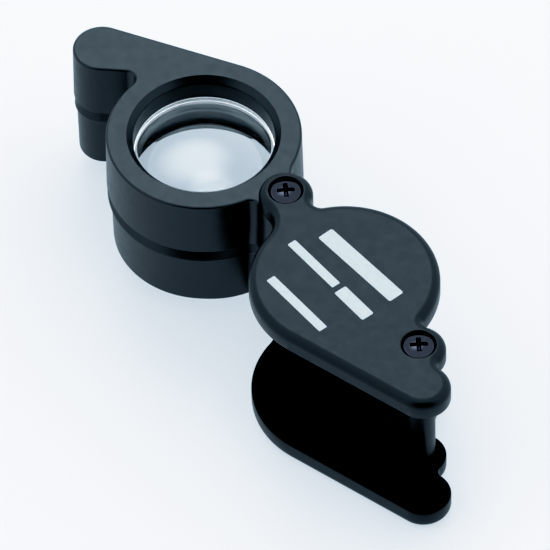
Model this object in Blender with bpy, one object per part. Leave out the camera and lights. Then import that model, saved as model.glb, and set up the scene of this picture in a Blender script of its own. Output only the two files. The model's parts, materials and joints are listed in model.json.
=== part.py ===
"""Folding triplet pocket loupe.

Two case plates, joined by a pivot post and a stop post, carry a lens head
that swings between them about the pivot post.  The head is a two-part moulded
shell around a metal lens cell with a cemented triplet.

Units are metres, +Z is up.  The loupe lies flat on its lower plate and is
modelled unfolded.  The origin is at the centre of the footprint, on the
surface the lower plate rests on.
"""
import math

import bmesh
import bpy
from mathutils import Matrix

for ob in list(bpy.data.objects):
    bpy.data.objects.remove(ob, do_unlink=True)

MM = 0.001

# ---------------------------------------------------------------- dimensions
# all in millimetres and degrees until the mesh is written
PIVOT_X, PIVOT_Y = 3.088, 1.973    # hinge axis in the footprint
HEAD_DIR = 129.9                   # where the unfolded head points
CASE_DIR = -63.7                   # where the case points from the pivot

PLATE_T = 2.50                     # plate thickness
PLATE_ROUND = 1.05                 # rounding of the outer edge
PLATE_INNER_ROUND = 0.15
GAP = 16.80                        # free height between the plates
TOTAL_H = 2 * PLATE_T + GAP

REACH = 14.10                      # pivot to the centre of either big disc
EAR_R = 3.05
CASE_R = 10.62
LOBE_X, LOBE_Y, LOBE_R = 26.63, 2.68, 3.02     # stop-post lobe
END_X, END_Y, END_R = 31.68, 0.50, 3.12        # grip end of the plates
NECK_LEFT_R = 1.10                 # hollow between ear and disc, post side
NECK_RIGHT_R = 3.40                # hollow between ear and disc, other side
LOBE_HOLLOW_R = 0.70
END_HOLLOW_R = 0.80

HEAD_CLEAR = 0.15                  # head to plate
HEAD_Z0 = PLATE_T + HEAD_CLEAR
HEAD_Z1 = PLATE_T + GAP - HEAD_CLEAR
SEAM_Z = 11.60                     # joint between the two shells
SEAM_GAP = 0.04
HEAD_R = 11.02
HEAD_DRAFT = 0.10                  # the upper shell widens toward the seam
HEAD_ROUND = 0.28
LOWER_BASE = 0.46                  # lower shell stands in by this at its foot
LOWER_WALL = 0.36                  # and by this under its lip
LOWER_LIP = -0.05                  # the lip is almost flush with the upper shell
LOWER_NECK = 0.85                  # inset of the cone's top, at the seam
LIP_TOP, LIP_LOW, LIP_FOOT = 10.05, 9.90, 9.70
LUG_SHARE, TAIL_SHARE = 0.45, 0.60  # share of those insets at the lug and tail
LUG_R = 2.95
TAIL_X, TAIL_Y, TAIL_R = 31.50, 0.28, 3.27
NOTCH_Y, NOTCH_R = 1.30, 1.15      # hollow that takes the stop post

BORE_R = 8.65                      # mouth of the lens opening
BORE_CHAMFER = 0.72
BORE_WALL_R = 8.00
FOOT_WALL_R, FOOT_R = 8.30, 9.50    # flared opening on the underside
LIP_DEPTH = 2.95                   # head face to the lens cell
CELL_R = 9.00
CELL_CLEAR = 0.06
CELL_RIM_R = 7.95
CELL_LIP_R = 7.82                  # bare wall of the cell over the glass
LENS_R = 7.95
LENS_APEX = 16.50                  # height of the front of the glass
LENS_FACE_R = 25.0                 # outer curvature of the triplet
LENS_INNER_R = 12.5                # cemented curvature
LENS_T = 11.0                      # triplet thickness on the axis
FLINT_T = 2.1
CEMENT = 0.03
LENS_BEVEL = 0.28

PIVOT_POST_R = 1.45
STOP_POST_R = 1.80
BUSH_R = 1.82
FIT = 0.06                         # running fit, on the radius
WASHER_R = 2.08
WASHER_T = 0.35

SCREW_HEAD_R = 1.78
SCREW_HEAD_T = 1.10
SCREW_SINK = 0.06                  # head top below the plate face
RECESS_R = 1.92
RECESS_DEPTH = 1.38
SHANK_R = 1.00
SHANK_CLEAR = 0.08
SHANK_L = 5.0
CROSS_W, CROSS_L, CROSS_D = 0.46, 1.90, 0.85

BIG_STEP = 6.0                    # facet angle on the discs
SMALL_STEP = 12.0                   # facet angle on ears and lobes
HOLLOW_STEP = 20.0


# ----------------------------------------------------------------- materials
def material(name, colour, rough, metal=0.0, transmission=0.0):
    m = bpy.data.materials.new(name)
    m.use_nodes = True
    b = m.node_tree.nodes["Principled BSDF"]
    b.inputs["Base Color"].default_value = (*colour, 1.0)
    b.inputs["Roughness"].default_value = rough
    b.inputs["Metallic"].default_value = metal
    b.inputs["Transmission Weight"].default_value = transmission
    return m


# ------------------------------------------------------------------- outline
def unit(a):
    return math.cos(a), math.sin(a)


def direction(p, q):
    return math.atan2(q[1] - p[1], q[0] - p[0])


def hollow_centre(a, b, r, side):
    """Centre of a hollow of radius r that touches the discs a and b.
    side +1 lies to the left of the way from a to b."""
    (ax, ay, ar), (bx, by, br) = a, b
    d = math.hypot(bx - ax, by - ay)
    p, q = ar + r, br + r
    along = (p * p - q * q + d * d) / (2 * d)
    off = math.sqrt(p * p - along * along)
    ux, uy = (bx - ax) / d, (by - ay) / d
    return (ax + ux * along - side * uy * off, ay + uy * along + side * ux * off)


def tangent_angle(a, b):
    """Direction of the outward normal on the common tangent that runs along
    the right side of the way from disc a to disc b."""
    (ax, ay, ar), (bx, by, br) = a, b
    d = math.hypot(bx - ax, by - ay)
    return math.atan2(by - ay, bx - ax) - math.pi / 2 + math.asin((ar - br) / d)


def arc(points, centre, r, a0, a1, step, hollow=False):
    """Adds an arc as (x, y, nx, ny); a solid arc turns left, a hollow right."""
    if hollow:
        a1 = a0 - (a0 - a1) % (2 * math.pi)
    else:
        a1 = a0 + (a1 - a0) % (2 * math.pi)
    n = max(2, int(math.ceil(abs(a1 - a0) / math.radians(step))))
    s = -1.0 if hollow else 1.0
    for i in range(n + 1):
        c, t = unit(a0 + (a1 - a0) * i / n)
        p = (centre[0] + r * c, centre[1] + r * t, s * c, s * t)
        if points and math.hypot(points[-1][0] - p[0], points[-1][1] - p[1]) < 1e-4:
            continue
        points.append(p)


def case_outline():
    ear = (0.0, 0.0, EAR_R)
    disc = (REACH, 0.0, CASE_R)
    lobe = (LOBE_X, LOBE_Y, LOBE_R)
    end = (END_X, END_Y, END_R)
    hl = hollow_centre(ear, disc, NECK_LEFT_R, 1)
    hr = hollow_centre(ear, disc, NECK_RIGHT_R, -1)
    h1 = hollow_centre(disc, lobe, LOBE_HOLLOW_R, 1)
    h2 = hollow_centre(lobe, end, END_HOLLOW_R, 1)
    t = tangent_angle(disc, end)
    pts = []
    arc(pts, end, END_R, t, direction(end, h2), SMALL_STEP)
    arc(pts, h2, END_HOLLOW_R, direction(h2, end), direction(h2, lobe), HOLLOW_STEP, True)
    arc(pts, lobe, LOBE_R, direction(lobe, h2), direction(lobe, h1), SMALL_STEP)
    arc(pts, h1, LOBE_HOLLOW_R, direction(h1, lobe), direction(h1, disc), HOLLOW_STEP, True)
    arc(pts, disc, CASE_R, direction(disc, h1), direction(disc, hl), BIG_STEP)
    arc(pts, hl, NECK_LEFT_R, direction(hl, disc), direction(hl, ear), HOLLOW_STEP, True)
    arc(pts, ear, EAR_R, direction(ear, hl), direction(ear, hr), SMALL_STEP)
    arc(pts, hr, NECK_RIGHT_R, direction(hr, ear), direction(hr, disc), SMALL_STEP, True)
    arc(pts, disc, CASE_R, direction(disc, hr), t, BIG_STEP)
    return pts


def head_outline():
    lug = (0.0, 0.0, LUG_R)
    disc = (REACH, 0.0, HEAD_R)
    tail = (TAIL_X, TAIL_Y, TAIL_R)
    hl = hollow_centre(lug, disc, NECK_LEFT_R, 1)
    hr = hollow_centre(lug, disc, NECK_RIGHT_R, -1)
    reach = HEAD_R + NOTCH_R
    notch = (REACH + math.sqrt(reach * reach - NOTCH_Y * NOTCH_Y), NOTCH_Y)
    t = tangent_angle(disc, tail)
    d = math.hypot(notch[0] - TAIL_X, notch[1] - TAIL_Y)
    turn = direction(tail, notch) - math.acos((TAIL_R + NOTCH_R) / d)
    pts = []
    arc(pts, tail, TAIL_R, t, turn, SMALL_STEP)
    arc(pts, notch, NOTCH_R, turn + math.pi, direction(notch, disc), HOLLOW_STEP, True)
    arc(pts, disc, HEAD_R, direction(disc, notch), direction(disc, hl), BIG_STEP)
    arc(pts, hl, NECK_LEFT_R, direction(hl, disc), direction(hl, lug), HOLLOW_STEP, True)
    arc(pts, lug, LUG_R, direction(lug, hl), direction(lug, hr), SMALL_STEP)
    arc(pts, hr, NECK_RIGHT_R, direction(hr, lug), direction(hr, disc), SMALL_STEP, True)
    arc(pts, disc, HEAD_R, direction(disc, hr), t, BIG_STEP)
    return pts


def ease(x, x0, x1):
    t = min(1.0, max(0.0, (x - x0) / (x1 - x0)))
    return t * t * (3 - 2 * t)


def head_share(x):
    """Share of the lower shell's insets at this distance from the pivot."""
    return (LUG_SHARE + (1 - LUG_SHARE) * ease(x, 2.5, 6.5)
            - (1 - TAIL_SHARE) * ease(x, 24.0, 28.5))


# -------------------------------------------------------------------- solids
def finish(name, bm, mat, parent=None, sharp=28.0):
    bm.normal_update()
    me = bpy.data.meshes.new(name)
    bm.to_mesh(me)
    bm.free()
    me.shade_smooth()
    me.set_sharp_from_angle(angle=math.radians(sharp))
    ob = bpy.data.objects.new(name, me)
    bpy.context.scene.collection.objects.link(ob)
    if mat is not None:
        me.materials.append(mat)
    ob.parent = parent
    return ob


def plate_body(name, outline, rings, mat, parent, share=None):
    """A flat body from stacked copies of one outline; each ring is
    (inset, height), bottom first.  share(x) scales the insets."""
    bm = bmesh.new()
    loops = []
    for inset, z in rings:
        ring = [(x, y, nx, ny, inset * share(x) if share else inset) for x, y, nx, ny in outline]
        loops.append([bm.verts.new(((x - nx * i) * MM, (y - ny * i) * MM, z * MM))
                      for x, y, nx, ny, i in ring])
    n = len(outline)
    bm.faces.new(list(reversed(loops[0])))
    for lo, hi in zip(loops, loops[1:]):
        for i in range(n):
            j = (i + 1) % n
            bm.faces.new((lo[i], lo[j], hi[j], hi[i]))
    bm.faces.new(loops[-1])
    return finish(name, bm, mat, parent)


def turned(name, profile, segments, mat, parent, at=(0.0, 0.0), closed=False):
    """A turned solid.  profile is (radius, height) up the outer side; a
    closed profile comes back down the inside, an open one starts and ends
    on the axis."""
    bm = bmesh.new()
    rows = []
    for r, z in profile:
        if r < 1e-6:
            rows.append([bm.verts.new((0.0, 0.0, z * MM))])
        else:
            rows.append([bm.verts.new((r * MM * math.cos(2 * math.pi * k / segments),
                                       r * MM * math.sin(2 * math.pi * k / segments), z * MM))
                         for k in range(segments)])
    pairs = list(zip(rows, rows[1:]))
    if closed:
        pairs.append((rows[-1], rows[0]))
    for a, b in pairs:
        for k in range(segments):
            m = (k + 1) % segments
            if len(a) == 1 and len(b) == 1:
                continue
            if len(a) == 1:
                bm.faces.new((a[0], b[m], b[k]))
            elif len(b) == 1:
                bm.faces.new((a[k], a[m], b[0]))
            else:
                bm.faces.new((a[k], a[m], b[m], b[k]))
    ob = finish(name, bm, mat, parent)
    ob.location = (at[0] * MM, at[1] * MM, 0.0)
    return ob


def cut(target, cutter):
    cutter.display_type = 'WIRE'
    cutter.hide_render = True
    mod = target.modifiers.new(cutter.name, 'BOOLEAN')
    mod.operation = 'DIFFERENCE'
    mod.solver = 'EXACT'
    mod.object = cutter


def rounding(r, z, steps, top=True):
    """Rings of a quarter-round edge of radius r that ends at height z."""
    out = []
    for i in range(steps + 1):
        a = math.pi / 2 * i / steps
        if top:
            out.append((r * (1 - math.cos(a)), z - r + r * math.sin(a)))
        else:
            out.append((r * (1 - math.sin(a)), z + r - r * math.cos(a)))
    return out


def bore(name, r0, z0, z1, parent, at=(0.0, 0.0), segments=32, r1=None):
    r1 = r0 if r1 is None else r1
    return turned(name, [(0, z0), (r0, z0), (r1, z1), (0, z1)], segments, None, parent, at)


# ---------------------------------------------------------------- structure
def empty(name, angle):
    e = bpy.data.objects.new(name, None)
    bpy.context.scene.collection.objects.link(e)
    e.location = (PIVOT_X * MM, PIVOT_Y * MM, 0.0)
    e.rotation_euler = (0.0, 0.0, math.radians(angle))
    return e


case = empty("case_axis", CASE_DIR)
head = empty("head_axis", HEAD_DIR)

shell_black = material("black_moulding", (0.010, 0.012, 0.014), 0.32)
steel_dark = material("dark_steel", (0.16, 0.16, 0.17), 0.28, 1.0)
steel = material("steel", (0.55, 0.55, 0.56), 0.25, 1.0)
brass = material("brass", (0.70, 0.52, 0.24), 0.30, 1.0)
aluminium = material("aluminium", (0.80, 0.81, 0.83), 0.30, 1.0)
black_anodised = material("black_anodised", (0.012, 0.012, 0.013), 0.40, 0.0)
polymer = material("washer_polymer", (0.62, 0.60, 0.55), 0.55)
glass = material("lens_glass", (0.97, 0.985, 1.0), 0.02, 0.0, 1.0)

# --------------------------------------------------------------- case plates
outline = case_outline()
TOP_Z0 = PLATE_T + GAP

plate_bottom = plate_body(
    "plate_bottom", outline,
    rounding(PLATE_ROUND, 0.0, 3, top=False) + rounding(PLATE_INNER_ROUND, PLATE_T, 1),
    shell_black, case)
plate_top = plate_body(
    "plate_top", outline,
    rounding(PLATE_INNER_ROUND, TOP_Z0, 1, top=False) + rounding(PLATE_ROUND, TOTAL_H, 3),
    shell_black, case)

POSTS = (("pivot", (0.0, 0.0)), ("stop", (LOBE_X, LOBE_Y)))
for label, at in POSTS:
    cut(plate_top, turned(
        "cut_%s_top" % label,
        [(0, TOP_Z0 - 1), (SHANK_R + SHANK_CLEAR, TOP_Z0 - 1),
         (SHANK_R + SHANK_CLEAR, TOTAL_H - RECESS_DEPTH), (RECESS_R, TOTAL_H - RECESS_DEPTH),
         (RECESS_R, TOTAL_H - 0.10), (RECESS_R + 0.25, TOTAL_H + 0.15), (0, TOTAL_H + 0.15)],
        32, None, case, at))
    cut(plate_bottom, turned(
        "cut_%s_bottom" % label,
        [(0, -0.15), (RECESS_R + 0.25, -0.15), (RECESS_R, 0.10), (RECESS_R, RECESS_DEPTH),
         (SHANK_R + SHANK_CLEAR, RECESS_DEPTH), (SHANK_R + SHANK_CLEAR, PLATE_T + 1),
         (0, PLATE_T + 1)],
        32, None, case, at))

# ---------------------------------------------------------------------- posts
POST_Z0, POST_Z1 = PLATE_T + 0.03, TOP_Z0 - 0.03


def post(name, r, at, mat):
    """A drilled round post, tapped from both ends."""
    hole = SHANK_R + SHANK_CLEAR
    depth = SHANK_L - 0.2
    ob = turned(name, [(0, POST_Z0), (r - 0.12, POST_Z0), (r, POST_Z0 + 0.12),
                       (r, POST_Z1 - 0.12), (r - 0.12, POST_Z1), (0, POST_Z1)],
                32, mat, case, at)
    cut(ob, bore("cut_%s_low" % name, hole, POST_Z0 - 1, POST_Z0 + depth, case, at, 24))
    cut(ob, bore("cut_%s_high" % name, hole, POST_Z1 - depth, POST_Z1 + 1, case, at, 24))
    return ob


post("pivot_post", PIVOT_POST_R, (0.0, 0.0), steel)
post("stop_post", STOP_POST_R, (LOBE_X, LOBE_Y), shell_black)


# --------------------------------------------------------------------- screws
def one_cross(name, at, z, up, parent, turn, **size):
    """Both bars of the cross, joined into one cutter by a union."""
    a = cross_bar(name, at, z, up, parent, turn, **size)
    b = cross_bar(name + "_b", at, z, up, parent, turn + 90.0, **size)
    b.display_type = 'WIRE'
    b.hide_render = True
    mod = a.modifiers.new("join", 'BOOLEAN')
    mod.operation = 'UNION'
    mod.solver = 'EXACT'
    mod.object = b
    return a


def cross_bar(name, at, z, up, parent, turn, w=CROSS_W, l=CROSS_L, d=CROSS_D):
    """One tapered bar of a cross recess."""
    bm = bmesh.new()
    ux, uy = unit(math.radians(turn))
    rows = []
    for zz, half, hw in ((0.3, l / 2 * 1.08, w / 2 * 1.05), (-d, l / 2 * 0.42, w / 2 * 0.70)):
        rows.append([bm.verts.new(((ux * half * s - uy * hw * t) * MM,
                                   (uy * half * s + ux * hw * t) * MM, zz * up * MM))
                     for s, t in ((-1, -1), (1, -1), (1, 1), (-1, 1))])
    hi, lo = rows
    faces = [hi, list(reversed(lo))] + [[lo[i], lo[(i + 1) % 4], hi[(i + 1) % 4], hi[i]]
                                        for i in range(4)]
    for f in faces:
        bm.faces.new(f if up > 0 else list(reversed(f)))
    ob = finish(name, bm, None, parent)
    ob.location = (at[0] * MM, at[1] * MM, z * MM)
    return ob


def screw(name, at, z_face, up, mat, parent, turn, head_r=SCREW_HEAD_R, head_t=SCREW_HEAD_T,
          shank_r=SHANK_R, length=SHANK_L, cross=(CROSS_W, CROSS_L, CROSS_D)):
    """A pan-head screw with its crown at z_face; up is +1 when the head
    looks up and -1 when it looks down."""
    dome = 0.20
    prof = [(0, -head_t - length), (shank_r * 0.7, -head_t - length),
            (shank_r, -head_t - length + 0.3), (shank_r, -head_t),
            (head_r - 0.08, -head_t), (head_r, -head_t + 0.08),
            (head_r, -dome - 0.16), (head_r - 0.09, -dome), (head_r * 0.72, -dome * 0.38),
            (head_r * 0.38, -dome * 0.08), (0, 0)]
    if up < 0:
        prof = [(r, -z) for r, z in reversed(prof)]
    ob = turned(name, [(r, z_face + z) for r, z in prof], 24, mat, parent, at)
    w, l, d = cross
    cut(ob, one_cross("cut_" + name, at, z_face, up, parent, turn, w=w, l=l, d=d))
    return ob


screw("pivot_screw_top", (0.0, 0.0), TOTAL_H - SCREW_SINK, 1, steel_dark, case, 68.0)
screw("stop_screw_top", (LOBE_X, LOBE_Y), TOTAL_H - SCREW_SINK, 1, steel_dark, case, 66.0)
screw("pivot_screw_bottom", (0.0, 0.0), SCREW_SINK, -1, steel_dark, case, 20.0)
screw("stop_screw_bottom", (LOBE_X, LOBE_Y), SCREW_SINK, -1, steel_dark, case, 47.0)

# ---------------------------------------------------------- friction washers
WASH_IN = PIVOT_POST_R + FIT
turned("friction_washer_bottom",
       [(WASHER_R, PLATE_T + 0.03), (WASHER_R, PLATE_T + 0.03 + WASHER_T),
        (WASH_IN, PLATE_T + 0.03 + WASHER_T), (WASH_IN, PLATE_T + 0.03)],
       32, polymer, case, (0.0, 0.0), closed=True)
turned("friction_washer_top",
       [(WASHER_R, TOP_Z0 - 0.03 - WASHER_T), (WASHER_R, TOP_Z0 - 0.03),
        (WASH_IN, TOP_Z0 - 0.03), (WASH_IN, TOP_Z0 - 0.03 - WASHER_T)],
       32, polymer, case, (0.0, 0.0), closed=True)

# ---------------------------------------------------------------- head shells
upper_rings = [(-HEAD_DRAFT, SEAM_Z)] + rounding(HEAD_ROUND, HEAD_Z1, 2)
head_upper = plate_body("head_upper", head_outline(), upper_rings, shell_black, head)

LOWER_TOP = SEAM_Z - SEAM_GAP
lower_rings = [(i + LOWER_BASE, z) for i, z in rounding(HEAD_ROUND, HEAD_Z0, 2, top=False)]
lower_rings += [(LOWER_WALL, LIP_FOOT), (LOWER_LIP, LIP_LOW), (LOWER_LIP, LIP_TOP),
                (LOWER_NECK, LOWER_TOP)]
head_lower = plate_body("head_lower", head_outline(), lower_rings, shell_black, head, head_share)

DISC = (REACH, 0.0)
LIP_Z = HEAD_Z1 - LIP_DEPTH            # underside of the upper lip
FOOT_Z = HEAD_Z0 + 2.35                # top side of the lower lip
pocket = CELL_R + CELL_CLEAR
cut(head_upper, turned(
    "cut_lens_upper",
    [(0, SEAM_Z - 1), (pocket, SEAM_Z - 1), (pocket, LIP_Z), (BORE_WALL_R, LIP_Z),
     (BORE_WALL_R, HEAD_Z1 - BORE_CHAMFER),
     (BORE_R, HEAD_Z1 - BORE_CHAMFER * 0.10), (BORE_R + 0.10, HEAD_Z1),
     (BORE_R + 0.10, HEAD_Z1 + 1), (0, HEAD_Z1 + 1)],
    60, None, head, DISC))
cut(head_lower, turned(
    "cut_lens_lower",
    [(0, HEAD_Z0 - 1), (FOOT_R, HEAD_Z0 - 1), (FOOT_R, HEAD_Z0), (FOOT_WALL_R, FOOT_Z - 0.50),
     (FOOT_WALL_R, FOOT_Z), (pocket, FOOT_Z), (pocket, LOWER_TOP + 1), (0, LOWER_TOP + 1)],
    60, None, head, DISC))

# the lug: bush seat and washer seats
SEAT_R = WASHER_R + 0.10
SEAT_D = WASHER_T + 0.10
BUSH_Z0 = PLATE_T + 0.03 + WASHER_T + 0.08
BUSH_Z1 = TOP_Z0 - 0.03 - WASHER_T - 0.08
cut(head_upper, turned(
    "cut_lug_upper",
    [(0, SEAM_Z - 1), (BUSH_R + FIT, SEAM_Z - 1), (BUSH_R + FIT, HEAD_Z1 - SEAT_D),
     (SEAT_R, HEAD_Z1 - SEAT_D), (SEAT_R, HEAD_Z1 + 1), (0, HEAD_Z1 + 1)],
    32, None, head))
cut(head_lower, turned(
    "cut_lug_lower",
    [(0, HEAD_Z0 - 1), (SEAT_R, HEAD_Z0 - 1), (SEAT_R, HEAD_Z0 + SEAT_D),
     (BUSH_R + FIT, HEAD_Z0 + SEAT_D), (BUSH_R + FIT, LOWER_TOP + 1), (0, LOWER_TOP + 1)],
    32, None, head))
turned("pivot_bush",
       [(BUSH_R, BUSH_Z0), (BUSH_R, BUSH_Z1), (PIVOT_POST_R + FIT, BUSH_Z1),
        (PIVOT_POST_R + FIT, BUSH_Z0)],
       32, brass, head, (0.0, 0.0), closed=True)

# the tail: one screw from below clamps the shells
TAIL = (TAIL_X, TAIL_Y)
TAIL_SHANK = 0.80
TAIL_SEAT = HEAD_Z0 + 5.2
TAIL_L = 6.0
cut(head_lower, turned(
    "cut_tail_lower",
    [(0, HEAD_Z0 - 1), (1.55, HEAD_Z0 - 1), (1.55, TAIL_SEAT + 0.05),
     (TAIL_SHANK + 0.10, TAIL_SEAT + 0.05), (TAIL_SHANK + 0.10, LOWER_TOP + 1),
     (0, LOWER_TOP + 1)],
    32, None, head, TAIL))
cut(head_upper, bore("cut_tail_upper", TAIL_SHANK + 0.05, SEAM_Z - 1,
                     TAIL_SEAT + TAIL_L + 0.3, head, TAIL, 24))
screw("tail_screw", TAIL, TAIL_SEAT - 1.0, -1, steel_dark, head, 30.0, head_r=1.45, head_t=0.95,
      shank_r=TAIL_SHANK, length=TAIL_L, cross=(0.40, 1.55, 0.70))

# ------------------------------------------------------------------ lens cell
MID_Z = LENS_APEX - LENS_T / 2
CELL_Z0 = FOOT_Z + 0.05
CELL_Z1 = LIP_Z - 0.05
RIM_Z = LIP_Z + 0.10                   # rim seen around the glass
CELL_BORE = LENS_R + 0.04


def sag(r, radius):
    return radius - math.sqrt(radius * radius - r * r)


BEVEL_R = LENS_R - LENS_BEVEL
FACE_Z = MID_Z + LENS_T / 2
EDGE_Z = FACE_Z - sag(BEVEL_R, LENS_FACE_R) - LENS_BEVEL * 0.8
LIP_FACE_Z = EDGE_Z + 0.14             # underside of the cell's lip, over the bevel
RETAIN_T = 0.50
RETAIN_R = 7.62
RETAIN_Z1 = MID_Z - LENS_T / 2 + sag(RETAIN_R, LENS_FACE_R) - 0.05

turned("lens_cell",
       [(CELL_R, CELL_Z0), (CELL_R, CELL_Z1), (CELL_RIM_R, CELL_Z1), (CELL_RIM_R, RIM_Z),
        (CELL_LIP_R + 0.04, RIM_Z), (CELL_LIP_R, RIM_Z - 0.04), (CELL_LIP_R, LIP_FACE_Z),
        (CELL_BORE, LIP_FACE_Z), (CELL_BORE, CELL_Z0)],
       60, aluminium, head, DISC, closed=True)
turned("lens_retainer",
       [(CELL_BORE - 0.04, RETAIN_Z1 - RETAIN_T), (CELL_BORE - 0.04, RETAIN_Z1),
        (RETAIN_R, RETAIN_Z1), (RETAIN_R + 0.10, RETAIN_Z1 - RETAIN_T)],
       48, black_anodised, head, DISC, closed=True)

# --------------------------------------------------------------- the triplet
LENS_STEPS = 4


def curve(radius, r_edge, apex, sign):
    """Points of a spherical face from the edge to the axis."""
    return [(r_edge * (1 - i / LENS_STEPS),
             apex - sign * sag(r_edge * (1 - i / LENS_STEPS), radius))
            for i in range(LENS_STEPS + 1)]


CROWN_APEX = LENS_T / 2 - FLINT_T


def flint(name, up):
    inner = [(r, MID_Z + CROWN_APEX + CEMENT - sag(r, LENS_INNER_R))
             for r, _ in curve(LENS_INNER_R, LENS_R, 0, 1)]
    outer = curve(LENS_FACE_R, BEVEL_R, FACE_Z, 1)
    prof = list(reversed(inner)) + [(LENS_R, EDGE_Z)] + outer
    if up < 0:
        prof = [(r, 2 * MID_Z - z) for r, z in reversed(prof)]
    return turned(name, prof, 40, glass, head, DISC)


flint("lens_front", 1)
flint("lens_back", -1)
top = curve(LENS_INNER_R, LENS_R, MID_Z + CROWN_APEX, 1)
low = [(r, 2 * MID_Z - z) for r, z in top]
turned("lens_middle", list(reversed(low)) + top, 40, glass, head, DISC)

for ob in bpy.data.objects:
    if ob.type == 'MESH' and ob.name.startswith("cut_"):
        ob.hide_render = True
        ob.display_type = 'WIRE'
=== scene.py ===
import math

import bmesh
import bpy
from mathutils import Matrix, Vector
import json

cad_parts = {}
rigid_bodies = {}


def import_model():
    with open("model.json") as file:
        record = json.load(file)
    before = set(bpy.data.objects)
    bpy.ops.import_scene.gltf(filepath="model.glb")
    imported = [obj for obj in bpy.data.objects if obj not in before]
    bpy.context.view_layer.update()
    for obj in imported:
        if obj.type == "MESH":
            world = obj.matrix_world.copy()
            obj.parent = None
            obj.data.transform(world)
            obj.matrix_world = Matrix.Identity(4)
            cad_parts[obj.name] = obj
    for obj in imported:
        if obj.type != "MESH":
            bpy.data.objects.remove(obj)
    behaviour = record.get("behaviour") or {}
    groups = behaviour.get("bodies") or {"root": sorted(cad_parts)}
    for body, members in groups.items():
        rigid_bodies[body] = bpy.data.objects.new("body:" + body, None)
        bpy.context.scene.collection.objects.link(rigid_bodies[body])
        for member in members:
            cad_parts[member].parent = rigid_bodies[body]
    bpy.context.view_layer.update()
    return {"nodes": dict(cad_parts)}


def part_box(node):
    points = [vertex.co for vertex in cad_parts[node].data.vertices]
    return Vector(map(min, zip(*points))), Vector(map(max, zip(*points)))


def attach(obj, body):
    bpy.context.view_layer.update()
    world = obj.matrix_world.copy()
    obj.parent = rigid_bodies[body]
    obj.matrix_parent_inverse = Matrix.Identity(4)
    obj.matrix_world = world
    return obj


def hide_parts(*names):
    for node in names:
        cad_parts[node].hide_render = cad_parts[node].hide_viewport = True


for ob in list(bpy.data.objects):
    bpy.data.objects.remove(ob, do_unlink=True)

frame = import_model()
MM = 0.001
scene = bpy.context.scene

# ---------------------------------------------------------------------- tone
# a cool print look: soft bluish toe, neutral white
GRADE_IN = (0.014, 0.05, 0.09, 0.2, 0.4, 0.6, 0.8, 0.94)
GRADE_RED = (0.0, 0.0105, 0.033, 0.104, 0.288, 0.478, 0.715, 0.930)
GRADE_GREEN = (0.0, 0.0185, 0.048, 0.147, 0.345, 0.565, 0.772, 0.939)
GRADE_BLUE = (0.0, 0.0260, 0.061, 0.175, 0.405, 0.651, 0.825, 0.956)

scene.view_settings.view_transform = 'Standard'
scene.view_settings.look = 'None'
scene.view_settings.exposure = 0.0
scene.view_settings.gamma = 1.0
scene.view_settings.use_curve_mapping = True
grade = scene.view_settings.curve_mapping
for curve, levels in zip(grade.curves, (GRADE_RED, GRADE_GREEN, GRADE_BLUE)):
    for x, y in zip(GRADE_IN, levels):
        curve.points.new(x, y)
    for pt in curve.points:
        pt.handle_type = 'AUTO_CLAMPED'
grade.update()


# ------------------------------------------------------------ CAD references
def centre(node):
    lo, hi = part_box(node)
    return (lo + hi) / 2


PIVOT = centre("pivot_post") / MM
STOP = centre("stop_post") / MM
LENS = centre("lens_cell") / MM
TOTAL_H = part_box("plate_top")[1].z / MM
TOP_Z0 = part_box("plate_top")[0].z / MM
PLATE_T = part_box("plate_bottom")[1].z / MM
HEAD_Z0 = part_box("head_lower")[0].z / MM
HEAD_Z1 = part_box("head_upper")[1].z / MM
SEAM_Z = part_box("head_upper")[0].z / MM
LOWER_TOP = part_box("head_lower")[1].z / MM

# sizes shared with the CAD, in millimetres
REACH = 14.10                       # pivot to the centre of either big disc
EAR_R, CASE_R = 3.05, 10.62
LOBE_X, LOBE_Y, LOBE_R = 26.63, 2.68, 3.02      # stop-post lobe
END_X, END_Y, END_R = 31.68, 0.50, 3.12         # grip end of the plates
NECK_LEFT_R, NECK_RIGHT_R = 1.10, 3.40          # hollows beside the pivot ear
LOBE_HOLLOW_R, END_HOLLOW_R = 0.70, 0.80
PLATE_ROUND, PLATE_INNER_ROUND = 1.05, 0.15
HEAD_R, LUG_R = 11.02, 2.95
TAIL_X, TAIL_Y, TAIL_R = 31.50, 0.28, 3.27
NOTCH_Y, NOTCH_R = 1.30, 1.15                   # hollow that takes the stop post
HEAD_DRAFT, HEAD_ROUND = 0.10, 0.28
LOWER_BASE, LOWER_WALL, LOWER_LIP, LOWER_NECK = 0.46, 0.36, -0.05, 0.85
LIP_TOP, LIP_LOW, LIP_FOOT = 10.05, 9.90, 9.70
LUG_SHARE, TAIL_SHARE = 0.45, 0.60              # share of those insets there
LUG_BLEND, TAIL_BLEND = (2.5, 6.5), (24.0, 28.5)
BORE_R, BORE_CHAMFER, BORE_WALL_R = 8.65, 0.72, 8.00
FOOT_WALL_R, FOOT_R = 8.30, 9.50                # flared opening underneath
FOOT_DEPTH, FOOT_LAND = 2.35, 0.50
LIP_DEPTH = 2.95                                # head face to the lens cell
CELL_R, CELL_RIM_R, CELL_LIP_R = 9.00, 7.95, 7.82
CELL_CLEAR, CELL_END_CLEAR, LENS_CLEAR = 0.06, 0.05, 0.04
LENS_R, LENS_FACE_R, LENS_INNER_R = 7.95, 25.0, 12.5
LENS_T, FLINT_T, LENS_APEX, LENS_BEVEL = 11.0, 2.1, 16.50, 0.28
SCREW_HEAD_R = 1.78
SCREW_SINK, SCREW_CROWN = 0.04, 0.06            # lower heads in, upper heads out
RECESS_R, RECESS_DEPTH = 1.92, 1.38
STOP_POST_R = 1.80
LUG_BORE_R, LUG_SEAT_R, LUG_SEAT_DEPTH = 1.88, 2.18, 0.45
TAIL_SEAT = HEAD_Z0 + 5.2                       # where the tail screw's head bears
TAIL_BORE_R, TAIL_MOUTH_R, TAIL_SHANK_BORE_R = 1.55, 1.70, 0.90
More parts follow.
